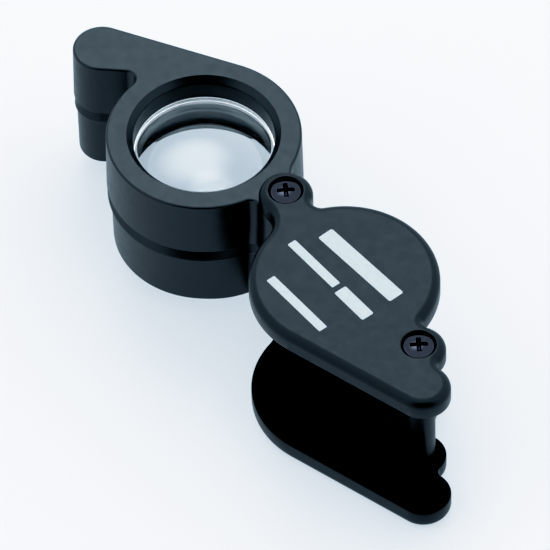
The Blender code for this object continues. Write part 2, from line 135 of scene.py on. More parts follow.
PAST = 1.0                                      # how far a cutter runs past a face

HEAD_ANGLE = math.atan2(LENS.y - PIVOT.y, LENS.x - PIVOT.x)
CASE_ANGLE = math.atan2(STOP.y - PIVOT.y, STOP.x - PIVOT.x) - math.atan2(LOBE_Y, LOBE_X)
AT_PIVOT = Matrix.Translation((PIVOT.x * MM, PIVOT.y * MM, 0))
CASE_M = AT_PIVOT @ Matrix.Rotation(CASE_ANGLE, 4, 'Z')
HEAD_M = AT_PIVOT @ Matrix.Rotation(HEAD_ANGLE, 4, 'Z')

# places in the case's or the head's own plan, pivot at (0, 0), +X outward
AT_EAR = (0, 0)
AT_LOBE = (LOBE_X, LOBE_Y)
AT_TAIL = (TAIL_X, TAIL_Y)
AT_DISC = (REACH, 0.0)


# ----------------------------------------------------------------- materials
class Mat:
    """A node material with its Principled shader at hand."""

    def __init__(self, name):
        self.m = bpy.data.materials.new(name)
        self.m.use_nodes = True
        self.nt = self.m.node_tree
        self.bsdf = self.nt.nodes["Principled BSDF"]

    def put(self, **values):
        for key, value in values.items():
            self.bsdf.inputs[key.replace("_", " ")].default_value = value
        return self

    def node(self, kind, **values):
        n = self.nt.nodes.new(kind)
        for key, value in values.items():
            n.inputs[key].default_value = value
        return n

    def link(self, a, b):
        self.nt.links.new(a, b)

    def drive(self, source, socket):
        self.link(source, self.bsdf.inputs[socket])

    def coords(self):
        return self.node("ShaderNodeTexCoord").outputs["Object"]

    def noise(self, scale, detail, rough, vector):
        n = self.node("ShaderNodeTexNoise", Scale=scale, Detail=detail, Roughness=rough)
        self.link(vector, n.inputs["Vector"])
        return n.outputs["Fac"]

    def ramp(self, source, lo, hi):
        """Two colours, each given as (position, colour)."""
        r = self.node("ShaderNodeValToRGB")
        for element, (pos, col) in zip(r.color_ramp.elements, (lo, hi)):
            element.position = pos
            element.color = (*col, 1.0)
        self.link(source, r.inputs["Fac"])
        return r.outputs["Color"]

    def span(self, source, lo, hi, to_lo, to_hi):
        n = self.node("ShaderNodeMapRange")
        for i, v in enumerate((lo, hi, to_lo, to_hi)):
            n.inputs[i + 1].default_value = v
        self.link(source, n.inputs[0])
        return n.outputs[0]

    def bump(self, height, distance, strength, normal=None):
        n = self.node("ShaderNodeBump", Strength=strength, Distance=distance)
        self.link(height, n.inputs["Height"])
        if normal is not None:
            self.link(normal, n.inputs["Normal"])
        return n.outputs["Normal"]


def black_moulding(name, rough=0.36, grain=1.0, shine=0.385):
    """Black semi-gloss moulded plastic: fine spark grain, faint flow
    mottling, light handling marks."""
    mottle_scale, wear_scale, grain_scale, swell_scale = 260.0, 900.0, 14000.0, 1800.0
    deep, pale = (0.0018, 0.0021, 0.0024), (0.0034, 0.0038, 0.0043)
    k = Mat(name)
    k.put(Metallic=0.0, IOR=1.52, Specular_IOR_Level=shine)
    c = k.coords()
    mottle = k.noise(mottle_scale, 3.0, 0.55, c)
    k.drive(k.ramp(mottle, (0.30, deep), (0.72, pale)), "Base Color")
    wear = k.noise(wear_scale, 6.0, 0.62, c)
    k.drive(k.span(wear, 0.30, 0.72, rough - 0.035, rough + 0.05), "Roughness")
    fine = k.noise(grain_scale, 2.0, 0.5, c)
    swell = k.noise(swell_scale, 2.0, 0.5, c)
    n = k.bump(swell, 0.00002 * grain, 0.10)
    n = k.bump(fine, 0.00001 * grain, 0.30, n)
    k.drive(n, "Normal")
    return k.m


def metal(name, colour, rough):
    """Bare or plated metal with a faint unevenness and a fine grain."""
    patch_scale, grain_scale, darkest = 2400.0, 16000.0, 0.86
    k = Mat(name)
    k.put(Metallic=1.0)
    c = k.coords()
    patch = k.noise(patch_scale, 5.0, 0.6, c)
    lo = tuple(v * darkest for v in colour)
    k.drive(k.ramp(patch, (0.32, lo), (0.70, colour)), "Base Color")
    k.drive(k.span(patch, 0.3, 0.72, rough - 0.05, rough + 0.07), "Roughness")
    k.drive(k.bump(k.noise(grain_scale, 2.0, 0.5, c), 0.000006, 0.4), "Normal")
    return k.m


def glass(name, ior, tint=(1.0, 1.0, 1.0)):
    k = Mat(name)
    k.put(Transmission_Weight=1.0, IOR=ior, Roughness=0.0, Base_Color=(*tint, 1.0))
    return k.m


def plain(name, colour, rough, mottle=0.1):
    """A matt finish with a little unevenness."""
    scale = 1500.0
    k = Mat(name)
    c = k.coords()
    n = k.noise(scale, 4.0, 0.55, c)
    lo = tuple(v * (1 - mottle) for v in colour)
    hi = tuple(min(1.0, v * (1 + mottle)) for v in colour)
    k.drive(k.ramp(n, (0.3, lo), (0.7, hi)), "Base Color")
    k.drive(k.span(n, 0.3, 0.7, rough - 0.04, rough + 0.04), "Roughness")
    k.drive(k.bump(k.noise(scale * 6, 2.0, 0.5, c), 0.000008, 0.4), "Normal")
    return k.m


SHELL = black_moulding("moulded_black")
SHELL_HEAD = black_moulding("moulded_black_head", shine=0.54)
# matt inner faces; their very low reflectance (shine 0.07) is painted shade standing in for the
# dark gap between the plates
INSIDE_GAP_SHADE = black_moulding("moulded_matt_inside_gap_shade", 0.62, 1.6, 0.07)
SCREW = metal("black_zinc_steel", (0.068, 0.063, 0.071), 0.10)
# the cross recess walls are far darker than the screw head: painted shade in the recess
CROSS_SHADE = metal("recess_painted_shade", (0.016, 0.014, 0.018), 0.22)
STEEL = metal("ground_steel", (0.58, 0.58, 0.60), 0.24)
BRASS = metal("turned_brass", (0.72, 0.53, 0.25), 0.26)
RIM = metal("turned_aluminium", (0.92, 0.92, 0.90), 0.20)
EDGE_GREY = metal("satin_cell_wall", (0.50, 0.51, 0.52), 0.40)
EDGE_BLACK = plain("blackened_edge", (0.010, 0.010, 0.011), 0.62)
RETAINER = plain("anodised_black", (0.014, 0.014, 0.015), 0.42)
WASHER = plain("washer_polymer", (0.62, 0.60, 0.55), 0.52)
PRINT = plain("white_pad_print", (0.56, 0.575, 0.565), 0.50, 0.04)
FLINT_IOR, CROWN_IOR = 1.62, 1.52
# the flint's grey tint is painted shade: it dims the glowing floor seen through the lens, standing
# in for the shadow under the head
FLINT = glass("lens_flint", FLINT_IOR, (0.74, 0.755, 0.76))
CROWN = glass("lens_crown", CROWN_IOR / FLINT_IOR)      # it lies inside the flint


# ------------------------------------------------------------------- outline
BIG, SMALL, HOLLOW = 1.5, 4.0, 6.0      # degrees between points on an arc
SIDE_STEP = 1.2                         # and millimetres on the straight side


def unit(a):
    return math.cos(a), math.sin(a)


def direction(p, q):
    return math.atan2(q[1] - p[1], q[0] - p[0])


def hollow_centre(a, b, r, side):
    """Centre of the hollow of radius r that touches two discs (x, y, r)."""
    (ax, ay, ar), (bx, by, br) = a, b
    d = math.hypot(bx - ax, by - ay)
    p, q = ar + r, br + r
    along = (p * p - q * q + d * d) / (2 * d)
    off = math.sqrt(p * p - along * along)
    ux, uy = (bx - ax) / d, (by - ay) / d
    return (ax + ux * along - side * uy * off, ay + uy * along + side * ux * off)


def tangent_angle(a, b):
    """Where the straight side leaves two discs (x, y, r)."""
    (ax, ay, ar), (bx, by, br) = a, b
    d = math.hypot(bx - ax, by - ay)
    return math.atan2(by - ay, bx - ax) - math.pi / 2 + math.asin((ar - br) / d)


def arc(points, at, r, a0, a1, step, hollow=False):
    """Adds (x, y, outward x, outward y) along an arc, counter-clockwise, or
    clockwise with the outward side inside for a hollow."""
    if hollow:
        a1 = a0 - (a0 - a1) % (2 * math.pi)
    else:
        a1 = a0 + (a1 - a0) % (2 * math.pi)
    n = max(2, int(math.ceil(abs(a1 - a0) / math.radians(step))))
    s = -1.0 if hollow else 1.0
    for i in range(n + 1):
        c, t = unit(a0 + (a1 - a0) * i / n)
        p = (at[0] + r * c, at[1] + r * t, s * c, s * t)
        if points and math.hypot(points[-1][0] - p[0], points[-1][1] - p[1]) < 1e-3:
            continue
        points.append(p)


def straight(points):
    """Adds points on the long straight side, so its faces stay short."""
    (x0, y0, nx, ny), (x1, y1, _, _) = points[-1], points[0]
    n = int(math.hypot(x1 - x0, y1 - y0) / SIDE_STEP)
    for i in range(1, n):
        points.append((x0 + (x1 - x0) * i / n, y0 + (y1 - y0) * i / n, nx, ny))


def round_the_pivot(pts, disc, ear, end_angle):
    """The left neck, the pivot ear, the right neck and the disc's far side."""
    hl = hollow_centre(ear, disc, NECK_LEFT_R, 1)
    hr = hollow_centre(ear, disc, NECK_RIGHT_R, -1)
    arc(pts, hl, NECK_LEFT_R, direction(hl, disc), direction(hl, ear), HOLLOW, True)
    arc(pts, ear, ear[2], direction(ear, hl), direction(ear, hr), SMALL)
    arc(pts, hr, NECK_RIGHT_R, direction(hr, ear), direction(hr, disc), SMALL, True)
    arc(pts, disc, disc[2], direction(disc, hr), end_angle, BIG)
    straight(pts)


def case_outline():
    ear, disc = (0.0, 0.0, EAR_R), (REACH, 0.0, CASE_R)
    lobe, end = (LOBE_X, LOBE_Y, LOBE_R), (END_X, END_Y, END_R)
    hl = hollow_centre(ear, disc, NECK_LEFT_R, 1)
    h1 = hollow_centre(disc, lobe, LOBE_HOLLOW_R, 1)
    h2 = hollow_centre(lobe, end, END_HOLLOW_R, 1)
    t = tangent_angle(disc, end)
    pts = []
    arc(pts, end, END_R, t, direction(end, h2), SMALL)
    arc(pts, h2, END_HOLLOW_R, direction(h2, end), direction(h2, lobe), HOLLOW, True)
    arc(pts, lobe, LOBE_R, direction(lobe, h2), direction(lobe, h1), SMALL)
    arc(pts, h1, LOBE_HOLLOW_R, direction(h1, lobe), direction(h1, disc), HOLLOW, True)
    arc(pts, disc, CASE_R, direction(disc, h1), direction(disc, hl), BIG)
    round_the_pivot(pts, disc, ear, t)
    return pts


def head_outline():
    lug, disc = (0.0, 0.0, LUG_R), (REACH, 0.0, HEAD_R)
    tail = (TAIL_X, TAIL_Y, TAIL_R)
    hl = hollow_centre(lug, disc, NECK_LEFT_R, 1)
    reach = HEAD_R + NOTCH_R
    notch = (REACH + math.sqrt(reach * reach - NOTCH_Y * NOTCH_Y), NOTCH_Y)
    t = tangent_angle(disc, tail)
    d = math.hypot(notch[0] - TAIL_X, notch[1] - TAIL_Y)
    turn = direction(tail, notch) - math.acos((TAIL_R + NOTCH_R) / d)
    pts = []
    arc(pts, tail, TAIL_R, t, turn, SMALL)
    arc(pts, notch, NOTCH_R, turn + math.pi, direction(notch, disc), HOLLOW, True)
    arc(pts, disc, HEAD_R, direction(disc, notch), direction(disc, hl), BIG)
    round_the_pivot(pts, disc, lug, t)
    return pts


def ease(x, x0, x1):
    t = min(1.0, max(0.0, (x - x0) / (x1 - x0)))
    return t * t * (3 - 2 * t)


def head_share(x):
    """How much of the lower shell's insets holds at x along the head."""
    return (LUG_SHARE + (1 - LUG_SHARE) * ease(x, *LUG_BLEND)
            - (1 - TAIL_SHARE) * ease(x, *TAIL_BLEND))


# --------------------------------------------------------------- mesh making
SHARP, SCREW_SHARP = 32.0, 40.0         # degrees, edges sharper than this show


def shade(me, sharp=SHARP):
    me.shade_smooth()
    me.set_sharp_from_angle(angle=math.radians(sharp))


def mesh_object(name, bm, mats, matrix=None, recalc=True):
    if recalc:
        bmesh.ops.recalc_face_normals(bm, faces=bm.faces)
    me = bpy.data.meshes.new(name)
    bm.to_mesh(me)
    bm.free()
    if matrix is not None:
        me.transform(matrix)
    for m in mats:
        me.materials.append(m)
    shade(me)
    ob = bpy.data.objects.new(name, me)
    scene.collection.objects.link(ob)
    return ob


def prism(bm, rows):
    """Closes stacked loops of vertices, bottom first, into one solid."""
    n = len(rows[0])
    bm.faces.new(list(reversed(rows[0])))
    for lo, hi in zip(rows, rows[1:]):
        for i in range(n):
            j = (i + 1) % n
            bm.faces.new((lo[i], lo[j], hi[j], hi[i]))
    bm.faces.new(rows[-1])


def stacked(name, outline, rings, mats, matrix, share=lambda x: 1.0):
    """A flat body from stacked copies of an outline; rings are
    (inset, height), bottom first.  share(x) scales the insets."""
    bm = bmesh.new()
    prism(bm, [[bm.verts.new(((x - nx * i * share(x)) * MM, (y - ny * i * share(x)) * MM,
                              z * MM)) for x, y, nx, ny in outline] for i, z in rings])
    return mesh_object(name, bm, mats, matrix)


def turned(name, profile, mats, at, segments=128, closed=False, matrix=None, slot_of=None,
           recalc=True):
    """A turned solid about (x, y) in millimetres; profile is (radius, height)
    and slot_of gives each step's material."""
    bm = bmesh.new()
    rows = []
    for r, z in profile:
        if r < 1e-6:
            rows.append([bm.verts.new((at[0] * MM, at[1] * MM, z * MM))])
            continue
        rows.append([])
        for k in range(segments):
            c, s = unit(2 * math.pi * k / segments)
            rows[-1].append(bm.verts.new(((at[0] + r * c) * MM, (at[1] + r * s) * MM, z * MM)))
    pairs = list(zip(rows, rows[1:]))
    if closed:
        pairs.append((rows[-1], rows[0]))
    for i, (a, b) in enumerate(pairs):
        for k in range(segments):
            m = (k + 1) % segments
            if len(a) == 1:
                f = bm.faces.new((a[0], b[m], b[k]))
            elif len(b) == 1:
                f = bm.faces.new((a[k], a[m], b[0]))
            else:
                f = bm.faces.new((a[k], a[m], b[m], b[k]))
            if slot_of is not None:
                f.material_index = slot_of(i)
    return mesh_object(name, bm, mats, matrix, recalc)


def round_edge(r, z, steps, top=True):
    """Rings (inset, height) of a rounded edge that ends or starts at z."""
    out = []
    for i in range(steps + 1):
        a = math.pi / 2 * i / steps
        if top:
            out.append((r * (1 - math.cos(a)), z - r + r * math.sin(a)))
        else:
            out.append((r * (1 - math.sin(a)), z + r - r * math.cos(a)))
    return out


def fillet(profile, radii, steps=5):
    """Rounds the corners of a profile; radii is {corner number: radius}."""
    out = []
    for i, p in enumerate(profile):
        r = radii.get(i)
        if not r:
            out.append(p)
            continue
        a, b = Vector(profile[i - 1]), Vector(profile[(i + 1) % len(profile)])
        c = Vector(p)
        u, v = (a - c).normalized(), (b - c).normalized()
        half = math.acos(max(-1.0, min(1.0, u.dot(v)))) / 2
        d = r / math.tan(half)
        o = c + (u + v).normalized() * (r / math.sin(half))
        s, e = c + u * d - o, c + v * d - o
        a0, a1 = math.atan2(s.y, s.x), math.atan2(e.y, e.x)
        turn = (a1 - a0 + math.pi) % (2 * math.pi) - math.pi
        for k in range(steps + 1):
            t = a0 + turn * k / steps
            out.append((o.x + r * math.cos(t), o.y + r * math.sin(t)))
    return out


def subtract(target, cutter):
    mod = target.modifiers.new("cut", 'BOOLEAN')
    mod.operation = 'DIFFERENCE'
    mod.solver = 'EXACT'
    mod.object = cutter


def settle(target, cutters, sharp=SHARP):
    """Applies the target's modifiers and removes the cutters."""
    bpy.context.view_layer.update()
    dg = bpy.context.evaluated_depsgraph_get()
    me = bpy.data.meshes.new_from_object(target.evaluated_get(dg))
    target.modifiers.clear()
    old = target.data
    target.data = me
    bpy.data.meshes.remove(old)
    for c in cutters:
        bpy.data.objects.remove(c, do_unlink=True)
    shade(me, sharp)
    return target


def cut(target, *cutters):
    for c in cutters:
        subtract(target, c)
    return settle(target, cutters)


def even(ob):
    """Flat faces keep their own normal where a rounding meets them."""
    mod = ob.modifiers.new("even", 'WEIGHTED_NORMAL')
    mod.mode = 'FACE_AREA'
    mod.weight = 80
    mod.keep_sharp = True
    return ob


def place(ob, body, slot, *nodes):
    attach(ob, body)
    if nodes:
        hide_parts(*nodes)
    return ob


# --------------------------------------------------------------- case plates
def seat_cutter(at, top):
    """Screw seat with a small rounded mouth and the shank's hole."""
    hole_r, deep, lead, steps, widen = 1.08, 4.0, 0.17, 5, 0.001
    z = TOTAL_H if top else 0.0
    s = 1.0 if top else -1.0
    prof = [(0, z - s * deep), (hole_r, z - s * deep), (hole_r, z - s * RECESS_DEPTH),
            (RECESS_R, z - s * RECESS_DEPTH)]
    for i in range(steps + 1):
        a = math.pi / 2 * i / steps
        prof.append((RECESS_R + lead * (1 - math.cos(a)) + widen * i,
                     z - s * lead * (1 - math.sin(a))))
    prof += [(RECESS_R + lead + 0.02, z + s * 0.5), (0, z + s * 0.5)]
    if not top:
        prof = list(reversed(prof))
    return turned("cutter", prof, [SHELL], at, 96, matrix=CASE_M)


def shade_inner_face(plate, face_z, way):
    """The flat inner face at face_z, facing up or down, is a matt black whose lowered reflectance
    is painted shade for the dark gap between the plates.
    """
    plate.data.materials.append(INSIDE_GAP_SHADE)
    for p in plate.data.polygons:
        if p.normal.z * way > 0.95 and abs(p.center.z / MM - face_z) < 0.02:
            p.material_index = len(plate.data.materials) - 1


outline = case_outline()
plate_top = stacked("plate_top_shell", outline,
                    round_edge(PLATE_INNER_ROUND, TOP_Z0, 3, top=False)
                    + round_edge(PLATE_ROUND, TOTAL_H, 10), [SHELL], CASE_M)
plate_bottom = stacked("plate_bottom_shell", outline,
                       round_edge(PLATE_ROUND, 0.0, 10, top=False)
                       + round_edge(PLATE_INNER_ROUND, PLATE_T, 3), [SHELL], CASE_M)
for plate, top in ((plate_top, True), (plate_bottom, False)):
    cut(plate, seat_cutter(AT_EAR, top), seat_cutter(AT_LOBE, top))
    even(plate)
shade_inner_face(plate_top, TOP_Z0, -1)
shade_inner_face(plate_bottom, PLATE_T, 1)
place(plate_top, "case", "shell_black", "plate_top")
place(plate_bottom, "case", "shell_black", "plate_bottom")

# ----------------------------------------------------------------- stop post
POST_GAP, POST_CHAMFER = 0.03, 0.12
z0, z1 = PLATE_T + POST_GAP, TOP_Z0 - POST_GAP
stop_post = turned("stop_post_round",
                   [(0, z0), (STOP_POST_R - POST_CHAMFER, z0), (STOP_POST_R, z0 + POST_CHAMFER),
                    (STOP_POST_R, z1 - POST_CHAMFER), (STOP_POST_R - POST_CHAMFER, z1), (0, z1)],
                   [SHELL], AT_LOBE, 96, matrix=CASE_M)
place(stop_post, "case", "shell_black", "stop_post")

# -------------------------------------------------------------------- screws
THREAD_PITCH, THREAD_LEAD = 0.40, 0.3
THREAD_TIP, THREAD_ROOT, THREAD_CREST, THREAD_NECK = 0.7, 0.80, 0.98, 0.85  # of the shank
HEAD_CHAMFER, HEAD_EDGE, HEAD_STEPS, EDGE_STRETCH = 0.10, 0.14, 8, 1.15
# the cross recess's loops: height, then length and width as shares of its size
CROSS_MOUTH, CROSS_FLOOR = (0.35, 1.10, 1.12), (0.36, 0.62)
CROSS_BREAK = 0.035                     # broken edge round the cross


def screw_profile(head_r, head_t, shank_r, length, dome):
    """Half section of a pan-head screw, tip first, its crown at height 0."""
    prof = [(0, -head_t - length), (shank_r * THREAD_TIP, -head_t - length)]
    z0 = -head_t - length + THREAD_LEAD
    turns = int((length - 2 * THREAD_LEAD) / THREAD_PITCH)
    for i in range(turns):
        prof.append((shank_r * THREAD_ROOT, z0 + THREAD_PITCH * i))
        prof.append((shank_r * THREAD_CREST, z0 + THREAD_PITCH * (i + 0.45)))
        prof.append((shank_r * THREAD_CREST, z0 + THREAD_PITCH * (i + 0.58)))
    prof += [(shank_r * THREAD_NECK, z0 + THREAD_PITCH * turns), (shank_r * THREAD_NECK, -head_t),
             (head_r - HEAD_CHAMFER, -head_t), (head_r, -head_t + HEAD_CHAMFER)]
    for i in range(HEAD_STEPS + 1):
        a = math.pi / 2 * i / HEAD_STEPS
        prof.append((head_r - HEAD_EDGE * (1 - math.cos(a)),
                     -dome - HEAD_EDGE + HEAD_EDGE * math.sin(a) * EDGE_STRETCH))
    crown_r = head_r - HEAD_EDGE
    z_edge = -dome - HEAD_EDGE + HEAD_EDGE * EDGE_STRETCH
    for i in range(1, HEAD_STEPS + 1):
        r = crown_r * (1 - i / HEAD_STEPS)
        prof.append((r, z_edge + (0 - z_edge) * (1 - (r / crown_r) ** 2)))
    return prof


def cross_cutter(at, z, up, turn, size, matrix):
    """A tapered cross of width, length and depth size, turned by degrees."""
    w, l, d = size
    bm = bmesh.new()
    ux, uy = unit(math.radians(turn))
    rows = []
    for zz, k, kw in (CROSS_MOUTH, (-d, *CROSS_FLOOR)):
        a, c = l / 2 * k, w / 2 * kw
        corners = [(a, -c), (a, c), (c, c), (c, a), (-c, a), (-c, c),
                   (-a, c), (-a, -c), (-c, -c), (-c, -a), (c, -a), (c, -c)]
        rows.append([bm.verts.new(((at[0] + ux * p - uy * q) * MM, (at[1] + uy * p + ux * q) * MM,
                                   (z + zz * up) * MM)) for p, q in corners])
    hi, lo = rows
    bm.faces.new(hi)
    bm.faces.new(list(reversed(lo)))
    for i in range(len(hi)):
        j = (i + 1) % len(hi)
        bm.faces.new((lo[i], lo[j], hi[j], hi[i]))
    # the recess walls take the darker painted-shade material
    for f in bm.faces:
        f.material_index = 1
    return mesh_object("cutter", bm, [SCREW, CROSS_SHADE], matrix)


def screw(name, node, at, z, up, turn, body, matrix, head_r=SCREW_HEAD_R, head_t=1.10,
          shank_r=1.0, length=5.0, size=(0.54, 2.40, 0.95), dome=0.34):
    """Pan-head screw with a rounded crown, thread and a cross recess."""
    prof = screw_profile(head_r, head_t, shank_r, length, dome)
    if up < 0:
        prof = [(r, -q) for r, q in reversed(prof)]
    ob = turned(name, [(r, z + q) for r, q in prof], [SCREW, CROSS_SHADE], at, 96, matrix=matrix)
    cutter = cross_cutter(at, z, up, turn, size, matrix)
    subtract(ob, cutter)
    bev = ob.modifiers.new("soft", 'BEVEL')
    bev.width, bev.segments, bev.limit_method = CROSS_BREAK * MM, 2, 'ANGLE'
    bev.angle_limit = math.radians(SCREW_SHARP)
    settle(ob, [cutter], SCREW_SHARP)
    place(ob, body, "screw_steel", node)


SCREW_TOP = TOTAL_H + SCREW_CROWN
screw("pivot_screw_upper", "pivot_screw_top", AT_EAR, SCREW_TOP, 1, 68.0, "case", CASE_M)
screw("stop_screw_upper", "stop_screw_top", AT_LOBE, SCREW_TOP, 1, 66.0, "case", CASE_M)
screw("pivot_screw_lower", "pivot_screw_bottom", AT_EAR, SCREW_SINK, -1, 20.0, "case", CASE_M)
screw("stop_screw_lower", "stop_screw_bottom", AT_LOBE, SCREW_SINK, -1, 47.0, "case", CASE_M)
screw("tail_screw_lower", "tail_screw", AT_TAIL, TAIL_SEAT - 1.0, -1, 30.0, "head", HEAD_M,
      head_r=1.45, head_t=0.95, shank_r=0.80, length=6.0, size=(0.46, 1.80, 0.75), dome=0.26)

# --------------------------------------------------------------- head shells
LIP_Z = HEAD_Z1 - LIP_DEPTH
FOOT_Z = HEAD_Z0 + FOOT_DEPTH
POCKET = CELL_R + CELL_CLEAR
MOUTH_R = BORE_R + 0.06

upper_rings = [(-HEAD_DRAFT + 0.10, SEAM_Z), (-HEAD_DRAFT + 0.03, SEAM_Z + 0.03),
               (-HEAD_DRAFT, SEAM_Z + 0.10), (-HEAD_DRAFT * 0.5, (SEAM_Z + HEAD_Z1) / 2)]
upper_rings += round_edge(HEAD_ROUND, HEAD_Z1, 6)
head_upper = stacked("head_upper_shell", head_outline(), upper_rings, [SHELL_HEAD], HEAD_M)

# wall, small step out to the thin lip, then the cone in to the seam
lower_rings = [(i + LOWER_BASE, z) for i, z in round_edge(HEAD_ROUND, HEAD_Z0, 6, top=False)]
lower_rings += [(LOWER_WALL, LIP_FOOT - 0.12), (LOWER_WALL - 0.03, LIP_FOOT - 0.03),
                (LOWER_WALL - 0.10, LIP_FOOT + 0.04), (LOWER_LIP + 0.06, LIP_LOW - 0.05),
                (LOWER_LIP, LIP_LOW + 0.03), (LOWER_LIP, LIP_TOP - 0.05),
                (LOWER_LIP + 0.03, LIP_TOP + 0.03), (LOWER_LIP + 0.08, LIP_TOP + 0.12),
                (LOWER_NECK, LOWER_TOP)]
head_lower = stacked("head_lower_shell", head_outline(), lower_rings, [SHELL_HEAD], HEAD_M,
                     head_share)

mouth = fillet([(0, SEAM_Z - PAST), (POCKET, SEAM_Z - PAST), (POCKET, LIP_Z),
                (BORE_WALL_R, LIP_Z), (BORE_WALL_R, HEAD_Z1 - BORE_CHAMFER), (MOUTH_R, HEAD_Z1),
                (MOUTH_R, HEAD_Z1 + PAST), (0, HEAD_Z1 + PAST)], {4: 0.20, 5: 0.12})
foot = fillet([(0, HEAD_Z0 - PAST), (FOOT_R, HEAD_Z0 - PAST), (FOOT_R, HEAD_Z0),
               (FOOT_WALL_R, FOOT_Z - FOOT_LAND), (FOOT_WALL_R, FOOT_Z), (POCKET, FOOT_Z),
               (POCKET, LOWER_TOP + PAST), (0, LOWER_TOP + PAST)], {2: 0.12, 3: 0.20})
lug_upper = [(0, SEAM_Z - PAST), (LUG_BORE_R, SEAM_Z - PAST),
             (LUG_BORE_R, HEAD_Z1 - LUG_SEAT_DEPTH), (LUG_SEAT_R, HEAD_Z1 - LUG_SEAT_DEPTH),
             (LUG_SEAT_R, HEAD_Z1 + PAST), (0, HEAD_Z1 + PAST)]
lug_lower = [(0, HEAD_Z0 - PAST), (LUG_SEAT_R, HEAD_Z0 - PAST),
             (LUG_SEAT_R, HEAD_Z0 + LUG_SEAT_DEPTH), (LUG_BORE_R, HEAD_Z0 + LUG_SEAT_DEPTH),
             (LUG_BORE_R, LOWER_TOP + PAST), (0, LOWER_TOP + PAST)]
tail_bore = [(0, HEAD_Z0 - PAST), (TAIL_MOUTH_R, HEAD_Z0 - PAST), (TAIL_MOUTH_R, HEAD_Z0),
             (TAIL_BORE_R, HEAD_Z0 + 0.15), (TAIL_BORE_R, TAIL_SEAT + 0.05),
             (TAIL_SHANK_BORE_R, TAIL_SEAT + 0.05), (TAIL_SHANK_BORE_R, LOWER_TOP + PAST),
             (0, LOWER_TOP + PAST)]


def bore(profile, at, segments=64):
    return turned("cutter", profile, [SHELL_HEAD], at, segments, matrix=HEAD_M)


cut(head_upper, bore(mouth, AT_DISC, 192), bore(lug_upper, AT_EAR))
cut(head_lower, bore(foot, AT_DISC, 192), bore(lug_lower, AT_EAR), bore(tail_bore, AT_TAIL))
even(head_upper)
even(head_lower)
place(head_upper, "head", "shell_black", "head_upper")
place(head_lower, "head", "shell_black", "head_lower")

# ------------------------------------------------------------ cell and glass
N = 28                                  # steps from the rim of a face to its apex
lens_xy = (LENS.x, LENS.y)
MID_Z = LENS_APEX - LENS_T / 2
CELL_Z0, CELL_Z1 = FOOT_Z + CELL_END_CLEAR, LIP_Z - CELL_END_CLEAR
RIM_Z = LIP_Z + 0.10
CELL_BORE = LENS_R + LENS_CLEAR


def sag(r, radius):
    return radius - math.sqrt(radius * radius - r * r)


BEVEL_R = LENS_R - LENS_BEVEL
FACE_Z = MID_Z + LENS_T / 2
EDGE_Z = FACE_Z - sag(BEVEL_R, LENS_FACE_R) - LENS_BEVEL * 0.8
LIP_FACE_Z = EDGE_Z + 0.14

# the rim's broken edge and the two fine tool steps on its wall, as
# (out from the wall, down from the rim)
RIM_STEPS = ((0.05, 0.0), (0.01, 0.02), (0.0, 0.14), (0.11, 0.18), (0.11, 0.32),
             (0.0, 0.36), (0.0, 0.46), (0.09, 0.50), (0.09, 0.58), (0.0, 0.64))
cell_profile = [(CELL_R, CELL_Z0), (CELL_R, CELL_Z1), (CELL_RIM_R, CELL_Z1), (CELL_RIM_R, RIM_Z)]
cell_profile += [(CELL_LIP_R + out, RIM_Z - down) for out, down in RIM_STEPS]
cell_profile += [(CELL_LIP_R, LIP_FACE_Z), (CELL_BORE, LIP_FACE_Z), (CELL_BORE, CELL_Z0)]
BLACKENED_FROM = len(cell_profile) - 2  # the bore and the foot of the cell
cell = turned("lens_cell_ring", cell_profile, [RIM, EDGE_BLACK], lens_xy, 192, closed=True,
              slot_of=lambda i: 1 if i >= BLACKENED_FROM else 0)
place(cell, "head", "cell_aluminium", "lens_cell")


def face(up):
    """Outer half of the cemented triplet: ground side wall, bevel and face,
    open at the middle where the other half meets it."""
    prof = [(LENS_R, MID_Z), (LENS_R, EDGE_Z)]
    prof += [(BEVEL_R * (1 - i / N), FACE_Z - sag(BEVEL_R * (1 - i / N), LENS_FACE_R))
             for i in range(N + 1)]
    if up < 0:
        prof = [(r, 2 * MID_Z - z) for r, z in prof]
    return prof


front = turned("lens_front_glass", face(1), [FLINT, EDGE_GREY], lens_xy, 160, recalc=False,
               slot_of=lambda i: 1 if i == 0 else 0)
back = turned("lens_back_glass", list(reversed(face(-1))), [FLINT, EDGE_GREY], lens_xy, 160,
              recalc=False, slot_of=lambda i: 1 if i == N + 1 else 0)
place(front, "head", "lens_glass", "lens_front")
place(back, "head", "lens_glass", "lens_back")
CROWN_APEX = LENS_T / 2 - FLINT_T
CROWN_R = LENS_R - 0.05
half = [(CROWN_R * (1 - i / N), CROWN_APEX - sag(CROWN_R * (1 - i / N), LENS_INNER_R))
        for i in range(N + 1)]
middle = turned("lens_middle_glass",
                [(r, MID_Z - z) for r, z in reversed(half)] + [(r, MID_Z + z) for r, z in half],
                [CROWN, EDGE_GREY], lens_xy, 160, slot_of=lambda i: 1 if i == N else 0)
place(middle, "head", "lens_glass", "lens_middle")

# ------------------------------------------------------- CAD nodes that stay
for node, mat in (("pivot_post", STEEL), ("pivot_bush", BRASS), ("lens_retainer", RETAINER),
                  ("friction_washer_top", WASHER), ("friction_washer_bottom", WASHER)):
    ob = frame["nodes"][node]
    for s in ob.material_slots:
        s.material = mat

# ----------------------------------------------------------- generic marking
BAR_BELOW, BAR_ABOVE = 0.02, 0.012      # how far a bar sinks in and stands out
BAR_CORNER = 0.12                       # corner radius as a share of the width


